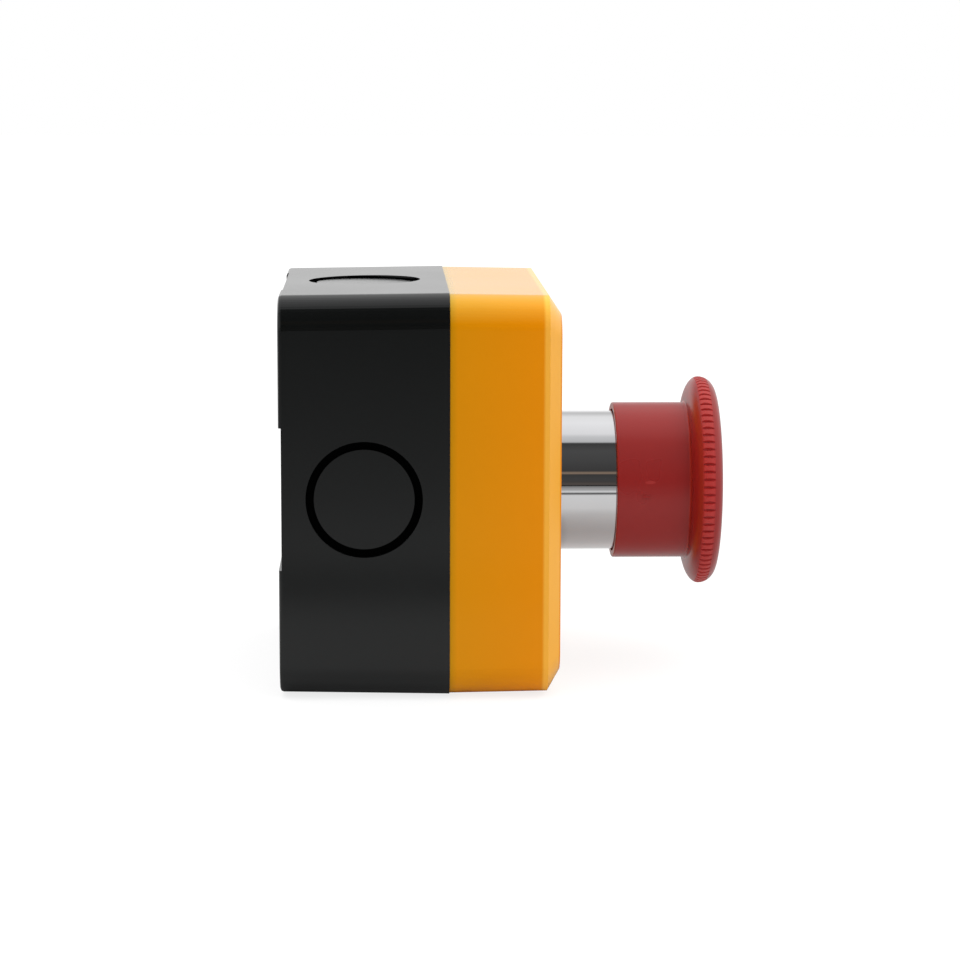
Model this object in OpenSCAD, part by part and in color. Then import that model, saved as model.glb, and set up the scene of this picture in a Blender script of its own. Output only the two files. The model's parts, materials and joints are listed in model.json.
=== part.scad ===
// Emergency stop station: a square wall enclosure with one push-lock, turn-to-release mushroom head.
// Millimetres. The rear mounting face is the plane Y = 0, the head points along -Y and +Z is up.
// Every piece is drawn with its own Z pointing forward from the rear face, then stood upright.

/* [Enclosure] */
// Width of the rear box where the cover meets it
box_w = 74; // [70:1:90]
// Height of the rear box where the cover meets it
box_h = 74; // [70:1:90]
// Depth of the rear box
base_depth = 31; // [29:1:45]
// Depth of the front cover
cover_depth = 20.4; // [18:0.1:26]
// Radius of the four long edges
corner_r = 6; // [5:0.5:7]
// Mould draft of the side walls, in degrees
draft_angle = 0.8; // [0:0.1:1.5]
// Thickness of the side walls
wall = 3; // [2.6:0.1:3.4]
// Thickness of the rear wall
floor_t = 2.6; // [2:0.1:4]
// Thickness of the front panel that clamps the operator
panel_t = 3; // [2.4:0.1:3.6]
// How far the cover stands inside the rear box all round
cover_reveal = 0.15; // [0:0.05:0.3]
// Depth of the bevel round the front of the cover
bevel_depth = 2.4; // [1:0.1:3]
// Width of that bevel on the front face
bevel_w = 3.6; // [2:0.1:4]
// Softened edge round the rear face
rear_edge = 0.6; // [0.3:0.1:1.2]

/* [Rear face] */
// Width of the upright arm of the shallow cross that leaves a pad in each corner
relief_upright_w = 38; // [20:1:42]
// Width of the level arm of that cross
relief_level_w = 26; // [20:1:28]
// Depth of that cross
relief_depth = 0.5; // [0.3:0.1:0.8]
// Distance between the wall screw holes across the width
mount_w = 54; // [50:1:56]
// Distance between the wall screw holes up the height
mount_h = 38; // [36:1:40]
// Diameter of the wall screw holes
mount_hole_d = 4.5; // [4:0.1:5]
// Diameter of the bosses round the wall screw holes
mount_boss_d = 9.2; // [8:0.1:10]
// Height of those bosses above the rear wall
mount_boss_h = 2; // [1:0.1:3]

/* [Cable entries] */
// Distance of each knockout's centre from the rear face
entry_back = 15.5; // [14:0.5:17]
// Outer diameter of the knockout groove
entry_ring_d = 21.2; // [18:0.1:22]
// Width of the knockout groove
entry_ring_w = 1.45; // [0.8:0.05:1.6]
// Depth of the knockout groove
entry_ring_depth = 1.7; // [1:0.1:2]
// How far the knockout's disc lies below the wall's surface
entry_disc_sunk = 0.45; // [0.1:0.05:0.6]
// Thickness of the stiffening ribs beside each knockout
rib_t = 1.4; // [1:0.1:2]
// Height of those ribs above the wall
rib_h = 1.6; // [1:0.1:2.2]

/* [Cover fixing] */
// Distance of each cover screw from the outer faces
screw_inset = 7.6; // [7:0.1:9]
// Diameter of the screw pillars
pillar_d = 9.4; // [9:0.1:10]
// Diameter of the cover screws
screw_d = 3.4; // [3:0.1:3.5]
// Diameter of the cover screw heads
screw_head_d = 5.8; // [5.4:0.1:6]
// Height of the cover screw heads
screw_head_h = 2.2; // [1.8:0.1:2.4]
// Length of the cover screws below the head
screw_len = 28; // [24:1:32]
// Width of the gasket between box and cover
gasket_w = 1.5; // [1:0.1:1.7]
// Thickness of that gasket
gasket_t = 1.5; // [1:0.1:2]

/* [Operator] */
// Diameter of the hole in the panel
panel_hole_d = 22.4; // [22.3:0.1:22.6]
// How far the operator sits below the middle of the cover
axis_drop = 2; // [0:0.5:3]
// Diameter of the plated collar
collar_d = 26.8; // [26.4:0.1:27]
// Length of the plated collar in front of the panel
collar_len = 17; // [16:0.5:19]
// Wall of the plated collar
collar_wall = 1.4; // [1:0.1:1.5]
// Diameter of the threadless barrel that passes through the panel
barrel_d = 21.8; // [21.4:0.1:21.9]
// Bore of the barrel's two chambers
barrel_bore_d = 17; // [16.8:0.1:17.4]
// Diameter of the spindle
spindle_d = 8; // [7.4:0.1:8.2]
// Travel of the head from released to latched
press_travel = 5; // [4:0.1:5.2]
// Diameter of the latch balls
ball_d = 3; // [2.6:0.1:3]

/* [Mushroom head] */
// Diameter of the mushroom head
head_d = 40; // [38:0.5:44]
// Diameter of the skirt behind the head
skirt_d = 30; // [29.8:0.1:30.4]
// Wall of the skirt
skirt_wall = 1.25; // [1:0.05:1.3]
// Length of collar that shows between the cover and the skirt
shown_collar = 11.8; // [11.5:0.1:13]
// Length of the skirt from its lip to the head
skirt_len = 14; // [12.5:0.1:14.5]
// Thickness of the head from its rear edge to its widest line
head_rear_t = 2.7; // [2.2:0.1:3.2]
// Thickness of the head from its widest line to the edge of its face
head_front_t = 3; // [2.4:0.1:3.2]
// Rise of the gently domed face
face_rise = 1; // [0.6:0.1:2]
// Number of ridges round the grip
ridge_count = 86; // [60:2:96]
// Width of the ridged band
ridge_w = 2.3; // [1.4:0.1:2.4]
// Depth of the slots between the ridges
slot_depth = 0.4; // [0.3:0.05:0.8]

/* [Fixing collar] */
// Width of the clamp behind the panel
clamp_w = 37; // [36:1:40]
// Height of the clamp behind the panel
clamp_h = 43; // [42:1:46]
// Thickness of the clamp
clamp_t = 7; // [6:0.5:8]
// Radius of the clamp's corners
clamp_corner_r = 4; // [2:0.5:6]
// Diameter of the two clamp screws
clamp_screw_d = 4; // [3:0.5:4]

/* [Contact blocks] */
// Width of one contact block
block_w = 11.4; // [11.2:0.1:11.8]
// Depth of one contact block
block_depth = 25; // [24:0.5:26]
// Wall of the contact block housings
block_wall = 1.5; // [1.2:0.1:1.7]
// Diameter of the contact plunger stems
stem_d = 4; // [3.4:0.1:4.2]
// Travel of the make contact before it closes
make_gap = 2.5; // [2:0.1:2.5]
// Thickness of the terminal strips and contact bridges
strip_t = 1; // [0.8:0.1:1.2]
// Diameter of the contact rivets
rivet_d = 2.4; // [2:0.1:2.6]
// Diameter of the terminal screws
terminal_screw_d = 3; // [2.5:0.1:3.2]
// Diameter of the terminal screw heads
terminal_head_d = 4.4; // [3.8:0.1:4.8]
// Height of the terminal screw heads
terminal_head_h = 2.2; // [1.6:0.1:2.6]
// Width of the wire clamps
terminal_clamp_w = 6.8; // [5.6:0.1:7.2]
// Thickness of the wire clamps
terminal_clamp_t = 0.9; // [0.6:0.1:1.2]
// Space left for a wire between clamp and strip
wire_gap = 1; // [0.6:0.1:1.6]

/* [Hidden] */
$fn = 64;

// Fits
slip = 0.05;
running_gap = 0.1;
free_gap = 0.3;
cut_over = 1;
slab = 0.02;

// Enclosure
front_z = base_depth + cover_depth;
panel_back = front_z - panel_t;
draft = tan(draft_angle);
cavity_w = box_w - 2 * wall;
cavity_h = box_h - 2 * wall;
cavity_r = corner_r - wall;
screw_x = box_w / 2 - screw_inset;
screw_y = box_h / 2 - screw_inset;
screw_seat_z = front_z - screw_head_h - 0.4;
screw_tip_z = screw_seat_z - screw_len;
pillar_reach = min(screw_inset - wall + 0.6, screw_inset - corner_r + (corner_r - 0.9) / sqrt(2));

// Operator levels, all measured from the panel's front face
web_z = front_z + 1.3;
shoulder_z = front_z + 5;
shoulder_t = 2;
chamber_top_z = front_z + 9;
bush_top_z = front_z + 15.2;
ball_z = front_z + 13.1;
guide_z = front_z - 7;
guide_t = 2;
barrel_tail = 16;
barrel_end_z = front_z - barrel_tail;
lug_z = front_z - 15.2;
lug_t = 2;
clamp_z = front_z - 13;
shoulder_r = barrel_d / 2 + 1;
barrel_top_r = barrel_bore_d / 2 + 1.9;
lug_r = barrel_d / 2 + 0.9;
lug_w = 6;
key_w = 3;
key_h = 0.9;
bush_r = barrel_bore_d / 2 - slip;
flange_r = barrel_bore_d / 2 - 1.1;
flange_t = 1.6;
flange_z = chamber_top_z - flange_t - 0.2;
ball_x = spindle_d / 2 + ball_d / 2 + slip;
ball_hole_r = ball_d / 2 + slip;
seal_wire_r = 0.7;
seal_z = front_z + 10.6;

// Pusher and the end of the spindle
block_set_back = 17;
block_front_z = front_z - block_set_back;
pusher_z = block_front_z + press_travel + 0.6;
pusher_top_z = guide_z - 0.6;
pusher_r = barrel_bore_d / 2 - free_gap;
neck_r = spindle_d / 2 - 1;
clip_z = pusher_z + 0.6;
clip_t = 0.8;
clip_groove_r = neck_r - 0.5;

// Head
rim_z = front_z + shown_collar;
head_rear_z = rim_z + skirt_len;
crest_z = head_rear_z + head_rear_t;
face_edge_z = crest_z + head_front_t;
face_z = face_edge_z + face_rise;
face_t = 3.4;
ceiling_z = face_edge_z - face_t + 1;
skirt_r = skirt_d / 2;
head_r = head_d / 2;
rear_sweep = head_r - skirt_r + 0.13;
edge_sweep = 3;
lip_round = 0.25;
neck_fillet = 0.5;
gate_z = rim_z + 5.5;
gate_drop = 1;
gate_len = 1.5;
gate_w = 0.6;
gate_proud = 0.12;
boss_r = spindle_d / 2 + 2.4;
boss_rise = 21;
boss_z = front_z + boss_rise;
pin_r = 1;
pin_z = boss_z + 3;
slot_root_r = head_r - slot_depth;
ridge_lead = 0.25;
ridge_z = crest_z - ridge_w / 2 + ridge_lead;
slot_floor_share = 0.14;
slot_mouth_share = 0.46;

// Contact blocks, side by side behind the pusher
block_x = block_w / 2 + 0.3;
block_back_z = block_front_z - block_depth;
block_top_y = 20.6;
block_bottom_y = -16;
chamber_x = block_w / 2 - block_wall;
chamber_y = 7.6;
block_front_t = 2;
chamber_floor_z = block_back_z + 2;
well_y0 = 9.2;
well_y1 = 14.4;
terminal_y = (well_y0 + well_y1) / 2;
block_screw_y = 17.4;
block_screw_r = 1.5;
block_screw_sunk = 4;
block_screw_short = 1;
block_head_r = 2.7;
block_head_h = 2.2;
screw_slot_w = 0.8;
terminal_tail = 2.8;
window_top_room = 6;
ear_y = 12.4;
break_strip_z = block_front_z - 10;
make_strip_set_back = 19.4;
make_strip_z = block_front_z - make_strip_set_back;
rivet_h = 0.7;
rivet_y = 5.2;
contact_touch = 0.05;
strip_w = 5;
strip_in_y = 3.9;
strip_out_y = 13.9;
bridge_w = 4;
bridge_half = 6.6;
body_top_z = block_front_z - block_front_t - 0.4;
stem_body_set_back = 16;
body_z = block_front_z - stem_body_set_back;
contact_coil_r = 1.4;
contact_wire_r = 0.22;
body_w = 6.4;
body_l = 6.8;
window_w = bridge_w + 0.5;
break_bridge_z = break_strip_z - 2 * rivet_h - contact_touch - strip_t;
make_bridge_z = make_strip_z + strip_t + 2 * rivet_h + make_gap + contact_touch;

// Stands a piece up: its own Z turns to -Y and its own Y to +Z
module upright() rotate([90, 0, 0]) children();

// Places a piece on the operator's axis
module on_axis() upright() translate([0, -axis_drop, 0]) children();

module rounded_rect(w, h, r) {
    square([w - 2 * r, h], center = true);
    square([w, h - 2 * r], center = true);
    for (sx = [-1, 1], sy = [-1, 1])
        translate([sx * (w / 2 - r), sy * (h / 2 - r)]) circle(r);
}

module rounded_slab(w, h, r, z) translate([0, 0, z]) linear_extrude(slab) rounded_rect(w, h, r);

module tube(r_out, r_in, z0, z1) {
    difference() {
        translate([0, 0, z0]) cylinder(r = r_out, h = z1 - z0);
        translate([0, 0, z0 - cut_over]) cylinder(r = r_in, h = z1 - z0 + 2 * cut_over);
    }
}

module rod(r, z0, z1) translate([0, 0, z0]) cylinder(r = r, h = z1 - z0);

module box_from(x0, x1, y0, y1, z0, z1) translate([x0, y0, z0]) cube([x1 - x0, y1 - y0, z1 - z0]);

module at_corners(x, y) for (sx = [-1, 1], sy = [-1, 1]) translate([sx * x, sy * y, 0]) children();

function arc(cx, cy, rx, ry, a0, a1, n) =
    [for (i = [0 : n]) let (a = a0 + (a1 - a0) * i / n) [cx + rx * cos(a), cy + ry * sin(a)]];

// Height of a coil after a share s of its turns: one closed turn at each end, an even pitch between
function coil_rise(s, turns, wire_r, length) =
    let (t = s * turns, closed = 2.1 * wire_r, open = (length - 2 * wire_r - 2 * closed) / (turns - 2))
    t < 1 ? t * closed : t < turns - 1 ? closed + (t - 1) * open
        : closed + (turns - 2) * open + (t - turns + 1) * closed;

module coil(mean_r, wire_r, z0, z1, turns, steps = 18, sides = 6) {
    n = ceil(turns * steps);
    ring_points = [for (i = [0 : n], j = [0 : sides - 1])
        let (a = 360 * turns * i / n, b = 360 * j / sides, r = mean_r + wire_r * cos(b),
             z = z0 + wire_r + coil_rise(i / n, turns, wire_r, z1 - z0))
        [r * cos(a), r * sin(a), z + wire_r * sin(b)]];
    side_faces = [for (i = [0 : n - 1], j = [0 : sides - 1])
        let (k = (j + 1) % sides)
        [i * sides + j, i * sides + k, (i + 1) * sides + k, (i + 1) * sides + j]];
    first_cap = [for (j = [sides - 1 : -1 : 0]) j];
    last_cap = [for (j = [0 : sides - 1]) n * sides + j];
    polyhedron(points = ring_points, faces = concat([first_cap], side_faces, [last_cap]), convexity = 8);
}

// Enclosure

module knockout(half) {
    ring_r = entry_ring_d / 2;
    translate([0, 0, half - entry_disc_sunk]) cylinder(r = ring_r, h = entry_disc_sunk + cut_over);
    translate([0, 0, half - entry_ring_depth])
        linear_extrude(entry_ring_depth + cut_over)
            difference() {
                circle(ring_r);
                circle(ring_r - entry_ring_w);
            }
}

module base_shell() {
    shrink = base_depth * draft;
    hull() {
        rounded_slab(box_w - 2 * (shrink + rear_edge), box_h - 2 * (shrink + rear_edge), corner_r - rear_edge, 0);
        rounded_slab(box_w - 2 * (shrink + rear_edge / 4), box_h - 2 * (shrink + rear_edge / 4),
                     corner_r - rear_edge / 4, rear_edge / 3);
        rounded_slab(box_w - 2 * shrink, box_h - 2 * shrink, corner_r, rear_edge);
        rounded_slab(box_w, box_h, corner_r, base_depth - slab);
    }
}

module base_cavity() {
    shrink = (base_depth - floor_t) * draft;
    hull() {
        rounded_slab(cavity_w - 2 * shrink, cavity_h - 2 * shrink, cavity_r, floor_t);
        rounded_slab(cavity_w + 2 * draft, cavity_h + 2 * draft, cavity_r, base_depth + 1);
    }
}

// One cover screw pillar, joined to the two walls of its corner
module pillar(z0, z1) {
    rod(pillar_d / 2, z0, z1);
    box_from(0, pillar_reach, 0, pillar_reach, z0, z1);
}

module at_pillars() {
    for (mx = [0, 1], my = [0, 1])
        mirror([mx, 0, 0]) mirror([0, my, 0]) translate([screw_x, screw_y, 0]) children();
}

module wall_ribs() {
    rib_y = entry_ring_d / 2 + 3;
    back = floor_t / 2;
    length = base_depth - 4 - back;
    for (s = [-1, 1], t = [-1, 1]) {
        translate([s * (cavity_w / 2 - rib_h / 2 + wall / 4), t * rib_y, back + length / 2])
            cube([rib_h + wall / 2, rib_t, length], center = true);
        translate([t * rib_y, s * (cavity_h / 2 - rib_h / 2 + wall / 4), back + length / 2])
            cube([rib_t, rib_h + wall / 2, length], center = true);
    }
}

module base_box() {
    color("#202222") upright() difference() {
        union() {
            difference() {
                base_shell();
                base_cavity();
            }
            wall_ribs();
            at_pillars() pillar(floor_t / 2, base_depth);
            at_corners(mount_w / 2, mount_h / 2) rod(mount_boss_d / 2, floor_t / 2, floor_t + mount_boss_h);
        }
        at_corners(screw_x, screw_y)
            rod(screw_d / 2 + slip, screw_tip_z - 1.5, base_depth + cut_over);
        at_corners(mount_w / 2, mount_h / 2)
            rod(mount_hole_d / 2, -cut_over, floor_t + mount_boss_h + cut_over);
        box_from(-relief_upright_w / 2, relief_upright_w / 2, -box_h, box_h, -cut_over, relief_depth);
        box_from(-box_w, box_w, -relief_level_w / 2, relief_level_w / 2, -cut_over, relief_depth);
        half_w = box_w / 2 - (base_depth - entry_back) * draft;
        half_h = box_h / 2 - (base_depth - entry_back) * draft;
        translate([0, 0, entry_back]) {
            rotate([0, 90, 0]) knockout(half_w);
            rotate([0, -90, 0]) knockout(half_w);
            rotate([90, 0, 0]) knockout(half_h);
            rotate([-90, 0, 0]) knockout(half_h);
        }
    }
}

module cover_shell() {
    side_w = box_w - 2 * cover_reveal;
    side_h = box_h - 2 * cover_reveal;
    shrink = (cover_depth - bevel_depth) * draft;
    hull() {
        rounded_slab(side_w, side_h, corner_r, base_depth);
        rounded_slab(side_w - 2 * shrink, side_h - 2 * shrink, corner_r, front_z - bevel_depth);
        rounded_slab(side_w - 2 * (shrink + bevel_w), side_h - 2 * (shrink + bevel_w),
                     corner_r - bevel_w / 2, front_z - slab);
    }
}

module cover_cavity() {
    shrink = (cover_depth - panel_t) * draft;
    hull() {
        rounded_slab(cavity_w + 2 * draft, cavity_h + 2 * draft, cavity_r, base_depth - 1);
        rounded_slab(cavity_w - 2 * shrink, cavity_h - 2 * shrink, cavity_r, panel_back - slab);
    }
}

module gasket_outline(extra) {
    mid_w = box_w - wall;
    mid_h = box_h - wall;
    mid_r = corner_r - wall / 2;
    half = gasket_w / 2 + extra;
    difference() {
        rounded_rect(mid_w + 2 * half, mid_h + 2 * half, mid_r + half);
        rounded_rect(mid_w - 2 * half, mid_h - 2 * half, mid_r - half);
    }
}

module front_cover() {
    color("#d98a0c") upright() difference() {
        union() {
            difference() {
                cover_shell();
                cover_cavity();
            }
            at_pillars() pillar(base_depth + 0.2, panel_back + 0.4);
        }
        translate([0, 0, base_depth - cut_over]) linear_extrude(gasket_t + cut_over) gasket_outline(slip);
        at_corners(screw_x, screw_y) {
            rod(screw_d / 2 + slip, base_depth - cut_over, front_z + cut_over);
            rod(screw_head_d / 2 + free_gap, screw_seat_z, front_z + cut_over);
        }
        translate([0, -axis_drop, 0]) {
            rod(panel_hole_d / 2, panel_back - cut_over, front_z + cut_over);
            box_from(-key_w / 2 - running_gap, key_w / 2 + running_gap, 0, barrel_d / 2 + key_h + running_gap,
                     panel_back - cut_over, front_z + cut_over);
        }
    }
}

module cover_gasket() {
    color("#2b2b2b") upright() translate([0, 0, base_depth]) linear_extrude(gasket_t) gasket_outline(0);
}

module cross_head_screw(shank_r, head_r, head_h, seat_z, tip_z) {
    slot_w = head_r * 0.32;
    difference() {
        union() {
            rod(head_r, seat_z, seat_z + head_h);
            rod(shank_r, tip_z + shank_r, seat_z);
            translate([0, 0, tip_z]) cylinder(r1 = shank_r * 0.3, r2 = shank_r, h = shank_r);
        }
        translate([0, 0, seat_z + head_h]) {
            cube([head_r * 1.3, slot_w, head_h * 1.2], center = true);
            cube([slot_w, head_r * 1.3, head_h * 1.2], center = true);
        }
    }
}

module cover_screws() {
    color("silver") upright() at_corners(screw_x, screw_y)
        cross_head_screw(screw_d / 2, screw_head_d / 2, screw_head_h, screw_seat_z, screw_tip_z);
}

// Operator

module chrome_collar() {
    inner_r = collar_d / 2 - collar_wall;
    web_r = barrel_d / 2 + slip;
    edge = 0.5;
    color("#d8dadd") on_axis() rotate_extrude() polygon([
        [inner_r + 0.6, front_z],
        [collar_d / 2, front_z],
        [collar_d / 2, front_z + collar_len - edge],
        [collar_d / 2 - edge, front_z + collar_len],
        [inner_r, front_z + collar_len],
        [inner_r, shoulder_z],
        [web_r, shoulder_z],
        [web_r, web_z],
        [inner_r + 0.6, web_z]
    ]);
}

module collar_gasket() {
    outer_r = collar_d / 2 - collar_wall + 0.6;
    color("#1d1d1d") on_axis()
        tube(outer_r - slip, barrel_d / 2 + key_h + free_gap, front_z, web_z);
}

module ball_holes(from_r, to_r) {
    for (s = [0, 180])
        rotate([0, 0, s]) translate([from_r, 0, ball_z]) rotate([0, 90, 0]) cylinder(r = ball_hole_r, h = to_r - from_r);
}

module operator_barrel() {
    color("#b9bbbd") on_axis() difference() {
        union() {
            rod(barrel_d / 2, barrel_end_z, shoulder_z);
            rod(shoulder_r, shoulder_z, shoulder_z + shoulder_t);
            rod(barrel_top_r, shoulder_z + shoulder_t, bush_top_z);
            intersection() {
                rod(lug_r, lug_z, lug_z + lug_t);
                box_from(-lug_r, lug_r, -lug_w / 2, lug_w / 2, lug_z, lug_z + lug_t);
            }
            box_from(-key_w / 2, key_w / 2, barrel_d / 2 - 1, barrel_d / 2 + key_h, panel_back, front_z);
        }
        rod(barrel_bore_d / 2, barrel_end_z - cut_over, guide_z);
        rod(spindle_d / 2 + slip, guide_z - cut_over, guide_z + guide_t + cut_over);
        rod(barrel_bore_d / 2, guide_z + guide_t, bush_top_z + cut_over);
        ball_holes(bush_r - 1, barrel_top_r + cut_over);
    }
}

module guide_bush() {
    color("#8a8f94") on_axis() difference() {
        rod(bush_r, chamber_top_z, bush_top_z);
        rod(spindle_d / 2 + slip, chamber_top_z - cut_over, bush_top_z + cut_over);
        tube(spindle_d / 2 + 2 * seal_wire_r + 0.3, spindle_d / 2 - 1, seal_z - seal_wire_r - 0.1,
             seal_z + seal_wire_r + 0.1);
        ball_holes(spindle_d / 4, bush_r + cut_over);
    }
}

module spindle_seal() {
    color("#151515") on_axis() translate([0, 0, seal_z])
        rotate_extrude() translate([spindle_d / 2 + 0.15 + seal_wire_r, 0]) circle(seal_wire_r, $fn = 24);
}

module latch_balls() {
    color("silver") on_axis() for (s = [-1, 1]) translate([s * ball_x, 0, ball_z]) sphere(d = ball_d);
}

module latch_springs() {
    start = ball_x + ball_d / 2 + 0.05;
    color("#9c9c9c") on_axis() for (s = [0, 180])
        rotate([0, 0, s]) translate([0, 0, ball_z]) rotate([0, 90, 0])
            coil(ball_d / 2 - 0.45, 0.2, start, barrel_top_r, 4.5, 14, 5);
}

module latch_ring() {
    ring_t = 0.6;
    color("#8d8f91") on_axis() difference() {
        tube(barrel_top_r + slip + ring_t, barrel_top_r + slip, ball_z - 1.9, ball_z + 1.9);
        box_from(-2.5, 2.5, 0, barrel_top_r + 2, ball_z - 3, ball_z + 3);
    }
}

module return_spring() {
    color("#9c9c9c") on_axis()
        coil((spindle_d / 2 + flange_r) / 2, 0.6, guide_z + guide_t + 0.1, flange_z - 0.1, 6);
}

module twist_spring() {
    color("#9c9c9c") on_axis() coil(boss_r + 1.5, 0.5, bush_top_z + 0.1, ceiling_z - 0.1, 5);
}

module spindle() {
    top_z = ceiling_z;
    pocket_r = ball_d / 2 + 0.3;
    color("#a6a8ab") on_axis() difference() {
        rotate_extrude() polygon([
            [0, pusher_z + 0.2],
            [neck_r - 0.3, pusher_z + 0.2],
            [neck_r, pusher_z + 0.5],
            [neck_r, clip_z],
            [clip_groove_r, clip_z],
            [clip_groove_r, clip_z + clip_t + slip],
            [neck_r, clip_z + clip_t + slip],
            [neck_r, pusher_top_z],
            [spindle_d / 2, pusher_top_z],
            [spindle_d / 2, flange_z],
            [flange_r, flange_z],
            [flange_r, flange_z + flange_t],
            [spindle_d / 2, flange_z + flange_t],
            [spindle_d / 2, top_z],
            [0, top_z]
        ]);
        for (s = [-1, 1])
            translate([s * (ball_x - 0.1), 0, ball_z + press_travel]) sphere(pocket_r);
        translate([0, 0, pin_z]) rotate([0, 90, 0]) cylinder(r = pin_r, h = spindle_d + 2, center = true);
    }
}

module pusher() {
    color("#e9e6da") on_axis() difference() {
        rod(pusher_r, pusher_z, pusher_top_z);
        rod(neck_r + slip, pusher_z - cut_over, pusher_top_z + cut_over);
        rod(neck_r + 1.4, pusher_z - cut_over, clip_z + clip_t + 0.2);
        for (s = [-1, 1])
            box_from(-1, 1, s * pusher_r - 1, s * pusher_r + 1, pusher_z - cut_over, pusher_top_z + cut_over);
    }
}

module retaining_ring() {
    color("#6d6f71") on_axis() difference() {
        tube(neck_r + 0.9, clip_groove_r + slip, clip_z + slip / 2, clip_z + clip_t + slip / 2);
        box_from(-1.6, 1.6, 0, neck_r + 3, clip_z - 1, clip_z + clip_t + 1);
    }
}

// Mushroom head, one moulding with its skirt

module head_outline() {
    rear_cx = head_r - rear_sweep;
    junction_r = skirt_r + neck_fillet;
    start_a = -acos((junction_r - rear_cx) / rear_sweep);
    junction_z = crest_z + head_rear_t * sin(start_a);
    face_cx = head_r - edge_sweep;
    dome_steps = 8;
    polygon(concat(
        [[0, rim_z]],
        arc(skirt_r - lip_round, rim_z + lip_round, lip_round, lip_round, -90, 0, 4),
        arc(junction_r, junction_z - neck_fillet, neck_fillet, neck_fillet, 180, 90, 4),
        arc(rear_cx, crest_z, rear_sweep, head_rear_t, start_a + 4, 0, 14),
        arc(face_cx, crest_z, edge_sweep, head_front_t, 9, 90, 9),
        [for (i = [1 : dome_steps]) let (r = face_cx * (1 - i / dome_steps)) [r, face_z - face_rise * pow(r / face_cx, 2)]]
    ));
}

// Everything between the ridges, as one ring that is cut from the head
module ridge_slots() {
    pitch = 360 / ridge_count;
    tip_r = head_r + slot_depth;
    foot = slot_floor_share / 2;
    tip = slot_mouth_share - foot;
    ridges = [for (i = [0 : ridge_count - 1], k = [0 : 3])
        let (a = (i + [foot, tip, 1 - tip, 1 - foot][k]) * pitch, r = k == 1 || k == 2 ? tip_r : slot_root_r)
        [r * cos(a), r * sin(a)]];
    translate([0, 0, ridge_z]) linear_extrude(ridge_w) difference() {
        circle(head_r + 1);
        polygon(ridges);
    }
}

// Small flat stub where the moulding was filled, on the side of the skirt
module gate_stub() {
    for (s = [-1, 1])
        translate([0, -gate_drop, gate_z + s * (gate_len - gate_w) / 2]) rotate([0, -90, 0])
            cylinder(r = gate_w / 2, h = skirt_r + gate_proud);
    box_from(-skirt_r - gate_proud, -skirt_r + skirt_wall / 2, -gate_drop - gate_w / 2, -gate_drop + gate_w / 2,
             gate_z - (gate_len - gate_w) / 2, gate_z + (gate_len - gate_w) / 2);
}

module mushroom_head() {
    inner_r = skirt_r - skirt_wall;
    gusset_count = 6;
    gusset_t = 1.2;
    gusset_z = ceiling_z - 3.5;
    color("#b3242a") on_axis() {
        difference() {
            union() {
                rotate_extrude($fn = 96) head_outline();
                gate_stub();
            }
            ridge_slots();
            rod(inner_r, rim_z - cut_over, ceiling_z);
        }
        difference() {
            union() {
                rod(boss_r, boss_z, ceiling_z + 0.5);
                for (i = [0 : gusset_count - 1])
                    rotate([0, 0, (i + 0.5) * 360 / gusset_count])
                        box_from(boss_r + 2.6, inner_r + skirt_wall / 2, -gusset_t / 2, gusset_t / 2,
                                 gusset_z, ceiling_z + 0.5);
            }
            rod(spindle_d / 2 + slip, boss_z - cut_over, ceiling_z);
            translate([0, 0, pin_z]) rotate([0, 90, 0]) cylinder(r = pin_r, h = 2 * boss_r + 2, center = true);
        }
    }
}

module head_pin() {
    color("#77797b") on_axis() translate([0, 0, pin_z]) rotate([0, 90, 0])
        cylinder(r = pin_r - slip / 2, h = 2 * boss_r - 0.2, center = true);
}

// Clamp behind the panel

clamp_screw_x = block_x + block_w / 2 + clamp_screw_d / 2 + free_gap;
clamp_screw_y = 13;
clamp_screw_slot = 0.8;
clamp_screw_back = 4;
clamp_hub_wall = 2.6;
clamp_hub_h = 1.2;
lug_gap = 0.4;

module at_clamp_screws() for (s = [-1, 1]) translate([s * clamp_screw_x, s * clamp_screw_y, 0]) children();

module fixing_collar() {
    bore_r = barrel_d / 2 + slip;
    front = clamp_z + clamp_t + clamp_hub_h;
    color("#a9abad") on_axis() difference() {
        union() {
            translate([0, 0, clamp_z]) linear_extrude(clamp_t) rounded_rect(clamp_w, clamp_h, clamp_corner_r);
            rod(bore_r + clamp_hub_wall, clamp_z + clamp_t / 2, front);
        }
        rod(bore_r, clamp_z - cut_over, front + cut_over);
        rotate([0, 0, 90])
            box_from(-lug_r - lug_gap, lug_r + lug_gap, -lug_w / 2 - lug_gap, lug_w / 2 + lug_gap,
                     clamp_z - cut_over, front + cut_over);
        at_clamp_screws() rod(clamp_screw_d / 2 + slip, clamp_z - cut_over, clamp_z + clamp_t + cut_over);
        for (s = [-1, 1]) translate([s * block_x, block_screw_y, 0])
            rod(block_screw_r + slip, clamp_z - cut_over, clamp_z + clamp_t + cut_over);
    }
}

module clamp_screws() {
    back = clamp_z - clamp_screw_back;
    color("silver") on_axis() at_clamp_screws() difference() {
        rod(clamp_screw_d / 2, back, panel_back);
        translate([0, 0, back]) cube([clamp_screw_d * 2, clamp_screw_slot, 2 * clamp_screw_slot], center = true);
    }
}

// Contact blocks: side = -1 is the break contact, side = 1 the make contact

module at_block(side) on_axis() translate([side * block_x, 0, 0]) children();

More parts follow.
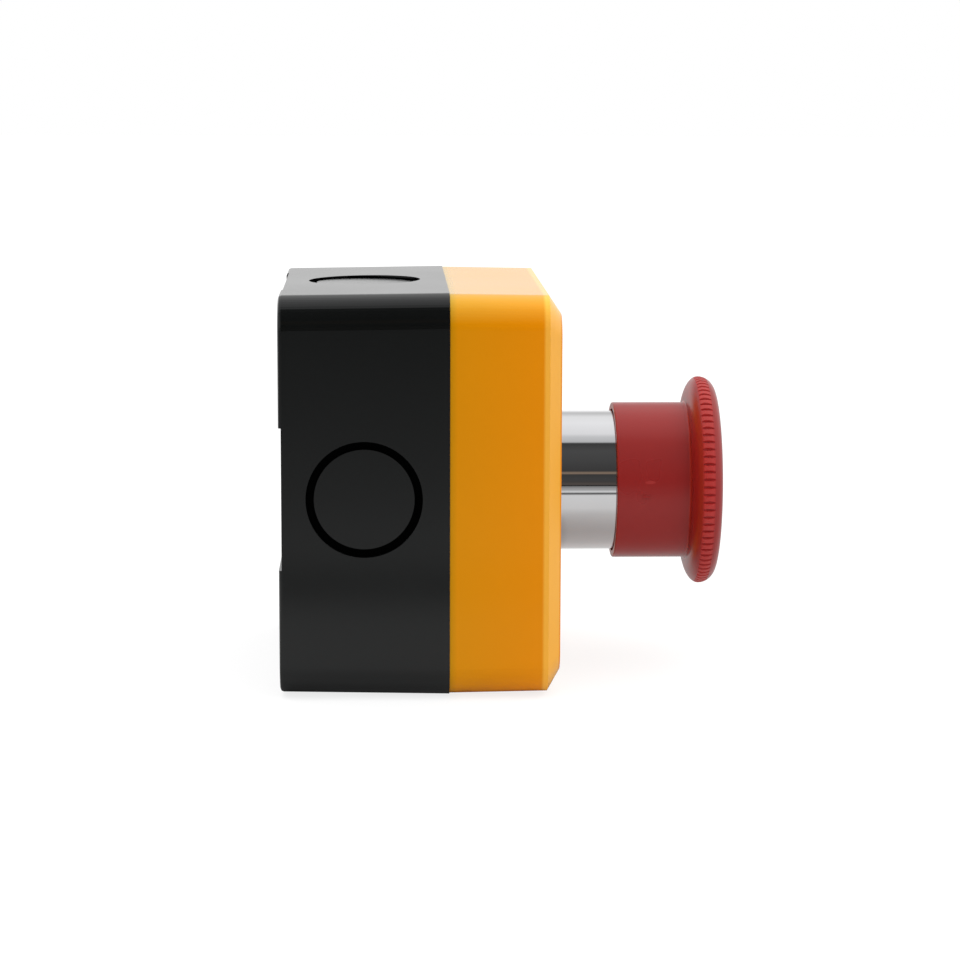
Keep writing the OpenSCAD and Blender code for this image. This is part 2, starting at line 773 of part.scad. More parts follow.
module block_housing(side, strip_z) {
    well_top = strip_z + strip_t + 3.4;
    at_block(side) difference() {
        union() {
            box_from(-block_w / 2, block_w / 2, block_bottom_y, block_top_y, block_back_z, block_front_z);
            box_from(-block_w / 2, block_w / 2, ear_y, block_top_y, block_front_z - 1, clamp_z);
            box_from(-block_w / 2, block_w / 2, block_bottom_y, -ear_y, block_front_z - 1, clamp_z);
        }
        box_from(-chamber_x, chamber_x, -chamber_y, chamber_y, chamber_floor_z, block_front_z - block_front_t);
        rod(stem_d / 2 + running_gap, block_front_z - block_front_t - cut_over, block_front_z + cut_over);
        for (s = [0, 1]) mirror([0, s, 0]) {
            box_from(-chamber_x, chamber_x, well_y0, well_y1, block_back_z - cut_over, well_top);
            box_from(-strip_w / 2 - running_gap, strip_w / 2 + running_gap, chamber_y - cut_over, well_y0 + cut_over,
                     strip_z - running_gap, strip_z + strip_t + running_gap);
            box_from(-strip_w / 2 + free_gap, strip_w / 2 - free_gap, well_y1 - cut_over, 1.5 * well_y1,
                     block_back_z - cut_over, strip_z - wire_gap);
        }
        translate([0, block_screw_y, 0]) {
            rod(block_screw_r + running_gap, block_back_z - cut_over, clamp_z + cut_over);
            rod(block_head_r + free_gap, block_back_z - cut_over, block_back_z + block_screw_sunk);
        }
    }
}

module contact_plunger(side, window_z0, window_z1) {
    at_block(side) {
        rod(stem_d / 2, body_top_z - 1, pusher_z - 0.2);
        difference() {
            box_from(-body_w / 2, body_w / 2, -body_l / 2, body_l / 2, body_z, body_top_z);
            box_from(-window_w / 2, window_w / 2, -body_l, body_l, window_z0, window_z1);
        }
        rod(0.9, body_z - 1.4, body_z + 0.4);
    }
}

module contact_bridge(side, z, rivet_side) {
    at_block(side) {
        box_from(-bridge_w / 2, bridge_w / 2, -bridge_half, bridge_half, z, z + strip_t);
        for (s = [-1, 1]) translate([0, s * rivet_y, 0])
            rod(rivet_d / 2, rivet_side > 0 ? z + strip_t - 0.1 : z - rivet_h,
                rivet_side > 0 ? z + strip_t + rivet_h : z + 0.1);
    }
}

module terminal_strips(side, z, rivet_side) {
    at_block(side) for (s = [0, 1]) mirror([0, s, 0]) {
        difference() {
            box_from(-strip_w / 2, strip_w / 2, strip_in_y, strip_out_y, z, z + strip_t);
            translate([0, terminal_y, 0]) rod(terminal_screw_d / 2 + slip, z - 1, z + strip_t + 1);
        }
        translate([0, rivet_y, 0])
            rod(rivet_d / 2, rivet_side > 0 ? z + strip_t - 0.1 : z - rivet_h,
                rivet_side > 0 ? z + strip_t + rivet_h : z + 0.1);
    }
}

module plunger_spring(side) {
    at_block(side) coil(1.9, 0.3, chamber_floor_z + 0.05, body_z - 0.05, 5, 14);
}

module break_housing() color("#27282a") block_housing(-1, break_strip_z);
module make_housing() color("#27282a") block_housing(1, make_strip_z);

module break_plunger() color("#c03030") contact_plunger(-1, body_z + 0.9, break_bridge_z + strip_t + 0.2);
module make_plunger() color("#3a9d4b") contact_plunger(1, make_bridge_z - 0.25, make_bridge_z + strip_t + window_top_room);

module break_bridge() color("#c9a15a") contact_bridge(-1, break_bridge_z, 1);
module make_bridge() color("#c9a15a") contact_bridge(1, make_bridge_z, -1);

module break_contact_spring() {
    color("#9c9c9c") at_block(-1) coil(contact_coil_r, contact_wire_r, body_z + 0.95, break_bridge_z - 0.05, 3.5, 14, 5);
}

module make_contact_spring() {
    coil_z = make_bridge_z + strip_t;
    color("#9c9c9c") at_block(1)
        coil(contact_coil_r, contact_wire_r, coil_z + slip, coil_z + window_top_room - slip, 5.5, 14, 5);
}

module break_return_spring() color("#9c9c9c") plunger_spring(-1);
module make_return_spring() color("#9c9c9c") plunger_spring(1);

module break_terminals() color("#c9a15a") terminal_strips(-1, break_strip_z, -1);
module make_terminals() color("#c9a15a") terminal_strips(1, make_strip_z, 1);

// Repeats its children at the four terminals, at the level of each block's strips
module at_terminals() {
    for (s = [0, 1], t = [-1, 1])
        at_block(s == 0 ? -1 : 1)
            translate([0, t * terminal_y, s == 0 ? break_strip_z : make_strip_z]) children();
}

module terminal_clamps() {
    depth = well_y1 - well_y0 - 2 * free_gap;
    color("silver") at_terminals() difference() {
        box_from(-terminal_clamp_w / 2, terminal_clamp_w / 2, -depth / 2, depth / 2,
                 -wire_gap - terminal_clamp_t, -wire_gap);
        rod(terminal_screw_d / 2 + running_gap, -wire_gap - 2 * terminal_clamp_t, 0);
    }
}

module cross_slots(head_r, slot_w, depth) {
    slot_len = 1.4 * head_r;
    cube([slot_len, slot_w, 2 * depth], center = true);
    cube([slot_w, slot_len, 2 * depth], center = true);
}

module terminal_screws() {
    seat = -wire_gap - terminal_clamp_t - slip;
    color("silver") at_terminals() difference() {
        union() {
            rod(terminal_head_d / 2, seat - terminal_head_h, seat);
            rod(terminal_screw_d / 2, seat - slip, strip_t + terminal_tail);
        }
        translate([0, 0, seat - terminal_head_h])
            cross_slots(terminal_head_d / 2, screw_slot_w, terminal_head_h / 2);
    }
}

module block_screws() {
    seat_z = block_back_z + block_screw_sunk;
    for (s = [-1, 1])
        color("silver") at_block(s) translate([0, block_screw_y, 0]) difference() {
            union() {
                rod(block_head_r, seat_z - block_head_h, seat_z);
                rod(block_screw_r, seat_z - slip, clamp_z + clamp_t - block_screw_short);
            }
            translate([0, 0, seat_z - block_head_h]) cross_slots(block_head_r, screw_slot_w, block_head_h / 2);
        }
}

base_box();
front_cover();
cover_gasket();
cover_screws();
chrome_collar();
collar_gasket();
operator_barrel();
guide_bush();
spindle_seal();
latch_balls();
latch_springs();
latch_ring();
return_spring();
twist_spring();
spindle();
pusher();
retaining_ring();
mushroom_head();
head_pin();
fixing_collar();
clamp_screws();
break_housing();
break_plunger();
break_bridge();
break_contact_spring();
break_return_spring();
break_terminals();
make_housing();
make_plunger();
make_bridge();
make_contact_spring();
make_return_spring();
make_terminals();
terminal_clamps();
terminal_screws();
block_screws();
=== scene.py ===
import json
import math

import bpy
from mathutils import Vector
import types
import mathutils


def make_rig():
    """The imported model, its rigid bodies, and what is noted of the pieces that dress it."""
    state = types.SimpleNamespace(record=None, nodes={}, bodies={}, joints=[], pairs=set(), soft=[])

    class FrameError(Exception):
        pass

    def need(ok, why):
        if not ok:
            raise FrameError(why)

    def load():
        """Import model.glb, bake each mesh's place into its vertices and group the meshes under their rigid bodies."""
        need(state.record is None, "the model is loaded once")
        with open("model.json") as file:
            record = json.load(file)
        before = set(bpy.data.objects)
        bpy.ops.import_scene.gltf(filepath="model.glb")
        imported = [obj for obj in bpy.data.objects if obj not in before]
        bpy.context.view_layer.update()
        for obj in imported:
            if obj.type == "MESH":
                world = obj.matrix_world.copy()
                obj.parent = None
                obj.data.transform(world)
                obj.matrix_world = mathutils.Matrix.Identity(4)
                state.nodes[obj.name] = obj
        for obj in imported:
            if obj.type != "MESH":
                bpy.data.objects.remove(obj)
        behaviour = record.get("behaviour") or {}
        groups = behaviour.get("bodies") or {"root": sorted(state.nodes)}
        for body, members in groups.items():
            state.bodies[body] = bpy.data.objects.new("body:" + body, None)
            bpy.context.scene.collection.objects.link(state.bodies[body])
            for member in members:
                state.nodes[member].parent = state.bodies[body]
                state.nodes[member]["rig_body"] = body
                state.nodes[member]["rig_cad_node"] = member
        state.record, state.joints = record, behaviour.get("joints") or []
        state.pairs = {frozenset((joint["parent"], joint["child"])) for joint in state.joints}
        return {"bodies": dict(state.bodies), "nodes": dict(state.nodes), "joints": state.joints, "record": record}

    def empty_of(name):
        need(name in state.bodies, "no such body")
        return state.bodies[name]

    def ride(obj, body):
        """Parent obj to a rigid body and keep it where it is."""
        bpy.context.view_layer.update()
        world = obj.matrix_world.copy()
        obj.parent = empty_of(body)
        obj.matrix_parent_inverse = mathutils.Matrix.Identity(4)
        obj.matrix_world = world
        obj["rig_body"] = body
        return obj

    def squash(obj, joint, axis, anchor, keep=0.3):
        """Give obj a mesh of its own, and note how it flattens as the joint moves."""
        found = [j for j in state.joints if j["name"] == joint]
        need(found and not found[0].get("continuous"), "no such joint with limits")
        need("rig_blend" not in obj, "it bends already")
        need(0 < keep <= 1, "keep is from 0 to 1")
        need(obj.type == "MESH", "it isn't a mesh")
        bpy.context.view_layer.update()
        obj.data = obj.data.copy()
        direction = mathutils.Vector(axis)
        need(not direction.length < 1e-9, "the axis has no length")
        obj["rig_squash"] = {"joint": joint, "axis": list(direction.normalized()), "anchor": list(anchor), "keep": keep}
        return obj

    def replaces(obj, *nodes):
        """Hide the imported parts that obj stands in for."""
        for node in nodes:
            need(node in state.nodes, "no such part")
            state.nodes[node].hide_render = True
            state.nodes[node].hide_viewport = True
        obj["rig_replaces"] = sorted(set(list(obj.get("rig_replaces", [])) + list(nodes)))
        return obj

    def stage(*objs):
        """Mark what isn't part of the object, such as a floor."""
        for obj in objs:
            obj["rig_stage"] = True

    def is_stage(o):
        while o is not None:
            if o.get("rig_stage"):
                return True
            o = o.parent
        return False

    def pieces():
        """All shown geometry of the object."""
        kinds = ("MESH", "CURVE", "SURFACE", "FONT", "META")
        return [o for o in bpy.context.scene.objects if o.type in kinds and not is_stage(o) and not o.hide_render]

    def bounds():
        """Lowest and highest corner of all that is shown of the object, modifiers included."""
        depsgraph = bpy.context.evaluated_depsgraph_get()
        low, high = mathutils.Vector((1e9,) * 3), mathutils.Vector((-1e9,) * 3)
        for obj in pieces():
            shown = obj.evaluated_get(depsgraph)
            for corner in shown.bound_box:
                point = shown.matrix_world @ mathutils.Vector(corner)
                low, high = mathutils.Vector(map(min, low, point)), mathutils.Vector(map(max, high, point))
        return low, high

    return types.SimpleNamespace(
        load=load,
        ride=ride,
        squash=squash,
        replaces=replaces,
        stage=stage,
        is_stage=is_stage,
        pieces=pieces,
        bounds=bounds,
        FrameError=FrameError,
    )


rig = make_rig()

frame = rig.load()
cad_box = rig.bounds()
nodes = frame["nodes"]


# Rear box. Injection-moulded black thermoplastic with a fine spark-eroded texture, open to the
# front, with thin round knockouts in its sides; it is screwed to the wall through its corner pads.
class Tone:
    """One socket of a shader tree. The usual signs work on it, and node() makes any other shader
    node from its kind, its settings and what goes into its sockets."""

    def __init__(self, tree, socket=None):
        self.tree, self.socket = tree, socket

    def node(self, kind, inputs=None, out=0, stops=None, **settings):
        made = self.tree.nodes.new("ShaderNode" + kind)
        for name, value in settings.items():
            setattr(made, name, value)
        if stops:
            ramp = made.color_ramp
            while len(ramp.elements) < len(stops):
                ramp.elements.new(0.5)
            for element, (at, colour) in zip(ramp.elements, stops):
                element.position, element.color = at, colour
        for name, value in (inputs or {}).items():
            if isinstance(value, Tone):
                self.tree.links.new(value.socket, made.inputs[name])
            else:
                made.inputs[name].default_value = value
        return Tone(self.tree, made.outputs[out])

    def sum(self, sign, a, b):
        """The Math node of that sign on a and b."""
        return self.node("Math", {0: a, 1: b}, operation=sign)

    def __add__(self, other):
        return self.sum("ADD", self, other)

    def __sub__(self, other):
        return self.sum("SUBTRACT", self, other)

    def __mul__(self, other):
        return self.sum("MULTIPLY", self, other)

    def __pow__(self, other):
        return self.sum("POWER", self, other)

    def __rsub__(self, other):
        return self.sum("SUBTRACT", other, self)

    def __abs__(self):
        return self.sum("ABSOLUTE", self, 0)

    __radd__, __rmul__ = __add__, __mul__

    def blend(self, low, high):
        """The colour low where this is 0 and high where it is 1."""
        colour_a, colour_b, colour_out = 6, 7, 2
        return self.node("Mix", {"Factor": self, colour_a: low, colour_b: high},
                         out=colour_out, data_type="RGBA")

    def band(self, low, high):
        """0 below low, 1 above high, a straight ramp between."""
        return self.node("MapRange", {"Value": self, "From Min": low, "From Max": high})

    def outputs(self, names):
        """The named outputs of the node that this socket is on."""
        return [Tone(self.tree, self.socket.node.outputs[name]) for name in names]


def along_axes(place, axes="XYZ"):
    """The numbers of a place or a direction along the axes named."""
    return place.node("SeparateXYZ", {"Vector": place}).outputs(axes)


def finish(name, **constants):
    """A material with its shader's fixed values set, and the object's own place for patterns."""
    material = bpy.data.materials.new(name)
    material.use_nodes = True
    shader = material.node_tree.nodes["Principled BSDF"]
    for socket, value in constants.items():
        shader.inputs[socket.replace("_", " ")].default_value = value
    return material, shader, Tone(material.node_tree).node("TexCoord", out="Object")


def drive(shader, socket, tone):
    """Links a tone to the named socket of a shader."""
    tone.tree.links.new(tone.socket, shader.inputs[socket])


def speck(place, scale, detail=2.0, rough=0.5):
    """Even noise, scale cells to the metre."""
    return place.node("TexNoise", {
        "Vector": place, "Scale": scale, "Detail": detail, "Roughness": rough})


def relief(shader, height, strength, distance):
    """Pushes the surface by height, distance metres high."""
    drive(shader, "Normal", height.node("Bump", {
        "Strength": strength, "Distance": distance, "Height": height}))


def wear(piece, material):
    """Gives every slot of a piece the one material."""
    piece.data.materials.clear()
    piece.data.materials.append(material)


black, shader, place = finish("black_box_plastic", IOR=1.47)
cloud = speck(place, scale=38, detail=3)
drive(shader, "Base Color", cloud.blend((0.0018, 0.0024, 0.0023, 1), (0.0036, 0.0044, 0.0042, 1)))
drive(shader, "Roughness", 0.14 + cloud * 0.06)
relief(shader, speck(place, scale=5200, rough=0.6), strength=0.03, distance=0.00004)
knockout_r, knockout_y = 0.0106, -0.0155
groove_w, groove_edge = 0.00145, 0.0001
groove_floor, groove_mouth = 0.03645, 0.03665
groove_inner_r = knockout_r - groove_w
x, y, z = along_axes(place)
groove = 0
for out, beside in ((x, z), (z, x)):
    from_centre = (beside * beside + (y - knockout_y) * (y - knockout_y)) ** 0.5
    past_inner_edge = from_centre.band(groove_inner_r - groove_edge, groove_inner_r)
    past_outer_edge = from_centre.band(knockout_r, knockout_r + groove_edge)
    below_mouth = 1 - abs(out).band(groove_floor, groove_mouth)
    groove = groove + past_inner_edge * (1 - past_outer_edge) * below_mouth
# Painted shade: in the knockouts' grooves a near-black shader without gloss stands in for deep shadow.
painted_groove_shade = groove.node("BsdfPrincipled", {
    "Base Color": (0.0012, 0.0013, 0.0013, 1), "Roughness": 1.0, "Specular IOR Level": 0.0})
glossy = Tone(groove.tree, shader.outputs[0])
drive(groove.tree.nodes["Material Output"], "Surface",
      groove.node("MixShader", {0: groove, 1: glossy, 2: painted_groove_shade}))
wear(nodes["base_box"], black)


# Front cover. Yellow moulding of the same thermoplastic, bevelled all round its front, that closes
# the box on a gasket and is held by four screws set into its corners. Its top and its bevel get a
# painted highlight and the strip beside its seam a painted shade, to match the photograph, not known wear.
def tinted(colour, by, sign):
    """Two colours added or multiplied."""
    return colour.node("VectorMath", {0: colour, 1: by}, operation=sign)


yellow, shader, place = finish(
    "yellow_cover_plastic", IOR=1.45, Specular_Tint=(1.0, 0.92, 0.30, 1))
cloud = speck(place, scale=30, detail=3)
y, z = along_axes(place, "YZ")
bevel_front, bevel_rear = (-0.0513, -0.0510), (-0.0483, -0.0478)
side_depth, seam_strip, top_corner = (-0.049, -0.033), (-0.0324, -0.0312), (0.032, 0.0368)
surface_colour = cloud.blend((0.710, 0.226, 0.0001, 1), (0.770, 0.250, 0.0003, 1))
# The side is a little redder toward the bevel and less red toward the seam.
side_tone = y.band(*side_depth).blend((1.03, 1.0, 1.0, 1), (0.90, 1.0, 1.0, 1))
# Painted shade: the strip beside the seam with the box is darker.
painted_seam_shade = y.band(*seam_strip).blend((1, 1, 1, 1), (0.80, 0.93, 1.0, 1))
# Painted highlight: the bevel and the top are made paler, as if lit from above and in front.
painted_bevel_highlight = (y.band(*bevel_front) * (1 - y.band(*bevel_rear))).blend(
    (0, 0, 0, 1), (0.11, 0.165, 0.045, 1))
painted_top_highlight = z.band(*top_corner).blend((0, 0, 0, 1), (0.04, 0.125, 0.032, 1))
side = tinted(tinted(surface_colour, side_tone, "MULTIPLY"), painted_seam_shade, "MULTIPLY")
drive(shader, "Base Color", tinted(tinted(side, painted_bevel_highlight, "ADD"), painted_top_highlight, "ADD"))
drive(shader, "Roughness", 0.15 + cloud * 0.06)
relief(shader, speck(place, scale=4200, rough=0.6), strength=0.03, distance=0.00004)
wear(nodes["front_cover"], yellow)


# Seals. Black nitrile rubber, moulded: one flat gasket in the cover's rim, one ring under the
# collar, one round the spindle.
def plain_finish(name, shades, clouds, rough, grain=None, **constants):
    """A material whose colour drifts between two shades in soft clouds. clouds is their scale and
    detail, rough the lowest roughness and the span above it, and grain the scale, detail,
    strength and height of a fine relief."""
    material, shader, place = finish(name, **constants)
    cloud = speck(place, *clouds)
    drive(shader, "Base Color", cloud.blend(*shades))
    drive(shader, "Roughness", rough[0] + cloud * rough[1])
    if grain:
        scale, detail, strength, height = grain
        relief(shader, speck(place, scale, detail), strength, height)
    return material


rubber = plain_finish(
    "black_seal_rubber", shades=((0.012, 0.012, 0.013, 1), (0.024, 0.024, 0.025, 1)),
    clouds=(300, 3), rough=(0.62, 0.15), grain=(6000, 2, 0.2, 0.00003))
for node in ("cover_gasket", "collar_gasket", "spindle_seal"):
    wear(nodes[node], rubber)

# Plated collar. Turned brass tube with bright chrome, clamped against the panel by the barrel's
# shoulder; the head's skirt slides over it.
chrome = plain_finish(
    "chrome_plate", shades=((0.78, 0.78, 0.79, 1), (0.82, 0.82, 0.83, 1)),
    clouds=(120, 2), rough=(0.03, 0.03), Metallic=1.0)
wear(nodes["chrome_collar"], chrome)

# Die-cast pieces. Zinc alloy barrel through the panel and the clamp plate behind it,
# barrel-polished and passivated.
zinc = plain_finish(
    "die_cast_zinc", shades=((0.42, 0.43, 0.44, 1), (0.56, 0.57, 0.57, 1)),
    clouds=(180, 4), rough=(0.34, 0.2), grain=(2600, 3, 0.25, 0.00003), Metallic=1.0)
for node in ("operator_barrel", "fixing_collar"):
    wear(nodes[node], zinc)

# Bright steel. Zinc-plated screws, the turned spindle with its cross pin, the latch balls and the
# wire clamps.
steel = plain_finish(
    "bright_steel", shades=((0.52, 0.52, 0.52, 1), (0.66, 0.66, 0.65, 1)),
    clouds=(700, 3), rough=(0.22, 0.16), grain=(9000, 2, 0.1, 0.00001), Metallic=1.0)
for node in ("cover_screws", "latch_balls", "spindle", "head_pin", "clamp_screws",
             "terminal_clamps", "terminal_screws", "block_screws"):
    wear(nodes[node], steel)

# Springs. Drawn and coiled spring wire, and the rolled strip of the latch ring and retaining ring,
# oiled and slightly dark.
wire = plain_finish(
    "spring_wire", shades=((0.28, 0.28, 0.29, 1), (0.42, 0.42, 0.42, 1)),
    clouds=(900, 3), rough=(0.3, 0.15), Metallic=1.0)
for node in ("latch_springs", "latch_ring", "return_spring", "twist_spring", "retaining_ring",
             "break_contact_spring", "break_return_spring", "make_contact_spring",
             "make_return_spring"):
    wear(nodes[node], wire)

# Working springs. The five coils of that wire that shorten as the head goes in: each stands on its
# fixed end, max toward the wall or min toward the head, and gives up the travel of what its other
# end bears on.
head_travel = 0.005
bridge_give = 0.5 * head_travel
for node, body, travel, fixed_end in (
        ("return_spring", "station", head_travel, max),
        ("twist_spring", "pusher_disc", head_travel, min),
        ("break_return_spring", "station", head_travel, max),
        ("make_return_spring", "station", head_travel, max),
        ("make_contact_spring", "make_slider", bridge_give, min)):
    coil = nodes[node].copy()
    coil.data = nodes[node].data.copy()
    coil.name = coil.data.name = node + "_coil"
    bpy.context.collection.objects.link(coil)
    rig.ride(coil, body)
    heights = [(coil.matrix_world @ point.co).y for point in coil.data.vertices]
    length = max(heights) - min(heights)
    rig.squash(coil, "head_press", axis=(0, 1, 0), anchor=(0, fixed_end(heights), 0),
              keep=1 - travel / length)
    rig.replaces(coil, node)

# Bush and pusher. Acetal mouldings: the grey bush guides the spindle, the natural pusher works the
# contact stems.
for name, shades, node in (
        ("grey_bush_plastic", ((0.08, 0.09, 0.10, 1), (0.11, 0.12, 0.135, 1)), "guide_bush"),
        ("natural_pusher_plastic", ((0.62, 0.58, 0.48, 1), (0.70, 0.66, 0.56, 1)), "pusher")):
    wear(nodes[node], plain_finish(
        name, shades, clouds=(220, 3), rough=(0.32, 0.1), grain=(5000, 2, 0.1, 0.00003)))

# Contact blocks. Moulded black housings with a red break stem and a green make stem, so that an
# electrician tells them apart.
for name, shades, worn_by in (
        ("block_plastic", ((0.010, 0.010, 0.011, 1), (0.018, 0.018, 0.019, 1)),
         ("break_housing", "make_housing")),
        ("red_stem_plastic", ((0.36, 0.012, 0.010, 1), (0.44, 0.018, 0.014, 1)),
         ("break_plunger",)),
        ("green_stem_plastic", ((0.012, 0.20, 0.045, 1), (0.018, 0.26, 0.06, 1)),
         ("make_plunger",))):
    moulding = plain_finish(
        name, shades, clouds=(260, 3), rough=(0.42, 0.12), grain=(5200, 2, 0.15, 0.00003))
    for node in worn_by:
        wear(nodes[node], moulding)

# Contact strips. Stamped brass with silver-faced rivets: two fixed strips a block and the bridge
# that joins them.
brass = plain_finish(
    "contact_brass", shades=((0.58, 0.40, 0.16, 1), (0.72, 0.52, 0.24, 1)),
    clouds=(600, 3), rough=(0.25, 0.2), grain=(7000, 2, 0.1, 0.00002), Metallic=1.0)
for node in ("break_bridge", "break_terminals", "make_bridge", "make_terminals"):
    wear(nodes[node], brass)

# Mushroom head. Red moulding, one piece with its skirt, filled through a gate on the side of the
# skirt. Its rim has fine slots for grip, and a steel pin holds it on the spindle.
red, shader, place = finish("red_head_plastic", IOR=1.47, Specular_Tint=(1.0, 0.80, 0.78, 1))
cloud = speck(place, scale=45, detail=3)
x, y, z = along_axes(place)
axis_z = -0.002
grip_front, grip_rear, grip_side = (-0.0813, -0.0812), (-0.0790, -0.0789), (0.0192, 0.0194)
slot_depth = (0.01965, 0.01985)
from_axis = (x * x + (z - axis_z) * (z - axis_z)) ** 0.5
grip = y.band(*grip_front) * (1 - y.band(*grip_rear)) * from_axis.band(*grip_side)
slot = grip * (1 - from_axis.band(*slot_depth))
# Painted light: in the grip band the ridges get a painted highlight and the slots a painted shade.
painted_ridge_light_slot_shade = slot.blend((0.42, 0.024, 0.021, 1), (0.34, 0.009, 0.009, 1))
plain = cloud.blend((0.262, 0.0130, 0.0122, 1), (0.290, 0.0150, 0.0140, 1))
# A painted highlight on the gate mark is drawn at its measured place; the raised mark in the mesh is lower.
gate_y, gate_z, gate_half_length, gate_half_width = -0.0694, -0.0003, 0.0010, 0.00032
gate_edge, gate_side = (0.5, 1.3), (0.0140, 0.0145)
gate_along = (y - gate_y) * (1 / gate_half_length)
gate_across = (z - gate_z) * (1 / gate_half_width)
from_gate = gate_along * gate_along + gate_across * gate_across
gate = (1 - from_gate.band(*gate_edge)) * (x * -1).band(*gate_side)
surface_colour = gate.blend(plain, (0.36, 0.030, 0.028, 1))
drive(shader, "Base Color", grip.blend(surface_colour, painted_ridge_light_slot_shade))
drive(shader, "Roughness", 0.25 + cloud * 0.06 + grip * 0.15)
relief(shader, speck(place, scale=4600, rough=0.6), strength=0.04, distance=0.00004)
wear(nodes["mushroom_head"], red)


# Floor. A white table top just under the box. The camera sees it white, with the object's shadow.
# What bright metal shows of it is tuned to the bands in the photographed collar: it darkens away
# to its front edge, with a dark groove across it.
def patch(x, y, left, right, front, back):
    """1 over a patch of the floor, with soft edges."""
    return x.band(*left) * (1 - x.band(*right)) * y.band(*front) * (1 - y.band(*back))


floor_size, gap = 6, 0.0002
bpy.ops.object.select_all(action="DESELECT")
bpy.ops.mesh.primitive_plane_add(size=floor_size, location=(0, 0, cad_box[0][2] - gap))
floor = bpy.context.object
floor.name = floor.data.name = "studio_floor"
white, shader, place = finish(
    "studio_white", Roughness=1.0, Specular_IOR_Level=0.0, Emission_Strength=1.0)
seen, mirrored, bounced = place.node("LightPath").outputs(
    ("Is Camera Ray", "Is Glossy Ray", "Is Diffuse Ray"))
x, y = along_axes(place, "XY")
# The light in the metal, from the front edge of the table to the middle of the box at 0.
table_depth = 1.2
light_by_x = (
    (-1.2, 0.0), (-1.10, 0.19), (-0.60, 0.33), (-0.41, 0.45), (-0.32, 0.54), (-0.25, 0.58),
    (-0.215, 0.80), (-0.192, 1.0), (-0.178, 1.0), (-0.160, 0.30), (-0.147, 0.16),
    (-0.138, 0.16), (-0.127, 0.90), (-0.118, 1.0), (-0.05, 1.0), (0.0, 1.0))
table = x.node("ValToRGB", {"Fac": (x + table_depth) * (1 / table_depth)}, stops=[
    ((at_x + table_depth) / table_depth, (light, light, light, 1))
    for at_x, light in light_by_x])
# Painted shadow: what bright metal shows of the floor is darker below the head and below the box.
shade_edge, shade_middle, shade_end = (-0.051, -0.037), (-0.037, -0.020), (-0.012, 0.014)
painted_head_shadow = (x.band(*shade_edge) * 0.8 + x.band(*shade_middle) * 0.2) * (1 - x.band(*shade_end))
painted_box_shadow = patch(x, y, left=(-0.0374, -0.0315), right=(0.0315, 0.0374),
                  front=(-0.056, -0.050), back=(0.0, 0.01))
round_box = patch(x, y, left=(-0.12, -0.04), right=(0.04, 0.12),
                  front=(-0.16, -0.06), back=(0.0, 0.06))
mirrored_paint = table * (1 - painted_box_shadow * 0.5) * 0.42
paint = (1 - mirrored * (1 - mirrored_paint)) * (1 - seen * 0.6)
drive(shader, "Base Color", paint.blend((0, 0, 0, 1), (0.56, 0.56, 0.56, 1)))
mirrored_glow = table * (1 - painted_head_shadow * 0.40) * (1 - painted_box_shadow * 0.97) * 0.36
glow = seen * 0.80 + bounced * (0.10 + round_box * 0.30) + mirrored * mirrored_glow
drive(shader, "Emission Color", glow.node(
    "VectorMath", {0: (1, 1, 1), "Scale": glow}, operation="SCALE"))
wear(floor, white)
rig.stage(floor)

# Surroundings. A white studio with a broad soft light overhead. Bright metal and gloss show a room
# tuned to the same bands instead: dark behind the camera, with a brown rail on its wall, as far as
# the overhead light.
world = bpy.data.worlds.new("studio_room")
bpy.context.scene.world = world
world.use_nodes = True
world.cycles.sampling_method = "NONE"
sky = Tone(world.node_tree)
seen, mirrored = sky.node("LightPath").outputs(("Is Camera Ray", "Is Glossy Ray"))
across, along, up = along_axes(sky.node("TexCoord", out="Generated"))
even, pale, cool = (1, 1, 1), (0.99, 0.99, 1), (0.98, 0.99, 1)
warm, wood = (1, 0.86, 0.78), (1, 0.74, 0.55)
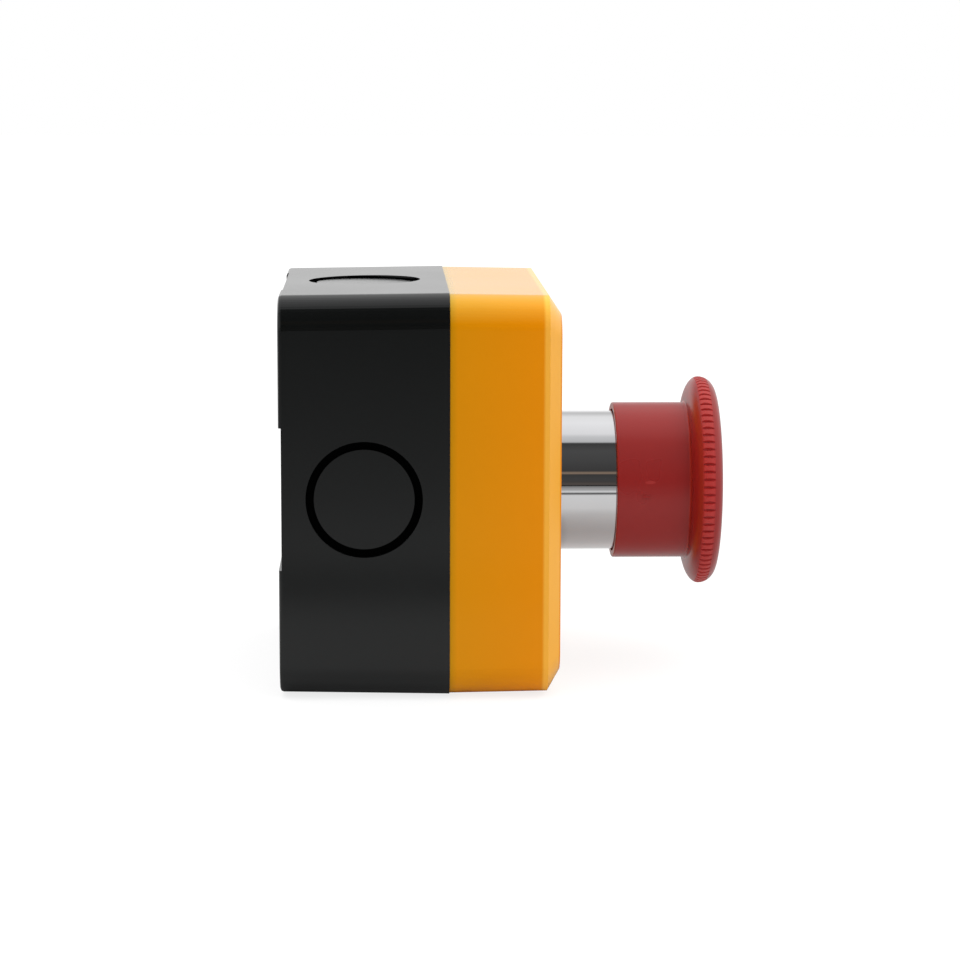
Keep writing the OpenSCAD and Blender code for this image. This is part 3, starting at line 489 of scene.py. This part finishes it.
# Degrees climb from the horizon behind the camera at 0, past overhead at 90, to the far one at 180.
light_by_degrees = (
    (-180, 0.90, even), (-3, 0.06, (1, 0.88, 0.84)), (0, 0.075, (1, 0.86, 0.80)),
    (1.4, 0.091, warm), (3, 0.078, warm), (5, 0.059, (1, 0.92, 0.89)), (9, 0.058, even),
    (17.5, 0.050, (1, 0.98, 0.95)), (18.4, 0.25, wood), (20.6, 0.25, wood),
    (21.8, 0.050, (1, 0.98, 0.97)), (40, 0.066, even), (57, 0.076, even), (71.4, 0.050, even),
    (73.6, 0.56, cool), (84, 0.66, cool), (90.5, 0.86, pale), (117, 0.97, pale),
    (137, 0.90, even), (152, 0.62, even), (160, 0.66, even), (170, 0.95, even),
    (180, 0.95, even))
climb = up.sum("ARCTAN2", up, across * -1) * (1 / (2 * math.pi)) + 0.5
room = climb.node("ValToRGB", {"Fac": climb}, stops=[
    (0.5 + degrees / 360, (light * tint[0], light * tint[1], light * tint[2], 1))
    for degrees, light, tint in light_by_degrees])
sideways = (0.55, 0.75)
reflected = abs(along).band(*sideways).blend(room, (0.95, 0.95, 0.95, 1))
overhead, ahead = 2.1, 0.6
level = up.band(0.0, 1.0) * overhead + (along * -1).band(0.0, 1.0) * ahead
soft = level.node("VectorMath", {0: (1, 1, 1), "Scale": level}, operation="SCALE")
drive(world.node_tree.nodes["Background"], "Color",
      seen.blend(mirrored.blend(soft, reflected), (1, 1, 1, 1)))

# Camera. Square to the side of the box but for two degrees, looking a little down on it through a
# long lens.
aim, reach = Vector((0, -0.037721, -0.0020418)), 0.55476
lift, swing, tilt = 0.1528, -0.0357, 0.0031
sensor, focal_px, picture_px = 36.0, 2865.2, 960.0
forward = Vector((
    math.cos(lift) * math.cos(swing), math.cos(lift) * math.sin(swing), -math.sin(lift)))
level_right = forward.cross(Vector((0, 0, 1))).normalized()
level_up = level_right.cross(forward)
right = level_right * math.cos(tilt) + level_up * math.sin(tilt)
upward = level_up * math.cos(tilt) - level_right * math.sin(tilt)
lens = bpy.data.cameras.new("camera")
lens.sensor_width, lens.lens, lens.clip_start = sensor, sensor * focal_px / picture_px, 0.01
camera = bpy.data.objects.new("camera", lens)
bpy.context.collection.objects.link(camera)
turn = camera.matrix_world.to_3x3()
for row in range(3):
    turn[row][0], turn[row][1], turn[row][2] = right[row], upward[row], -forward[row]
camera.matrix_world = turn.to_4x4()
camera.location = aim - forward * reach
bpy.context.scene.camera = camera
bpy.context.scene.view_settings.view_transform = "Standard"

shown_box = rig.bounds()
with open("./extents.json", "w") as sizes:
    json.dump({"cad": [list(corner) for corner in cad_box], "shown": [list(corner) for corner in shown_box]}, sizes)
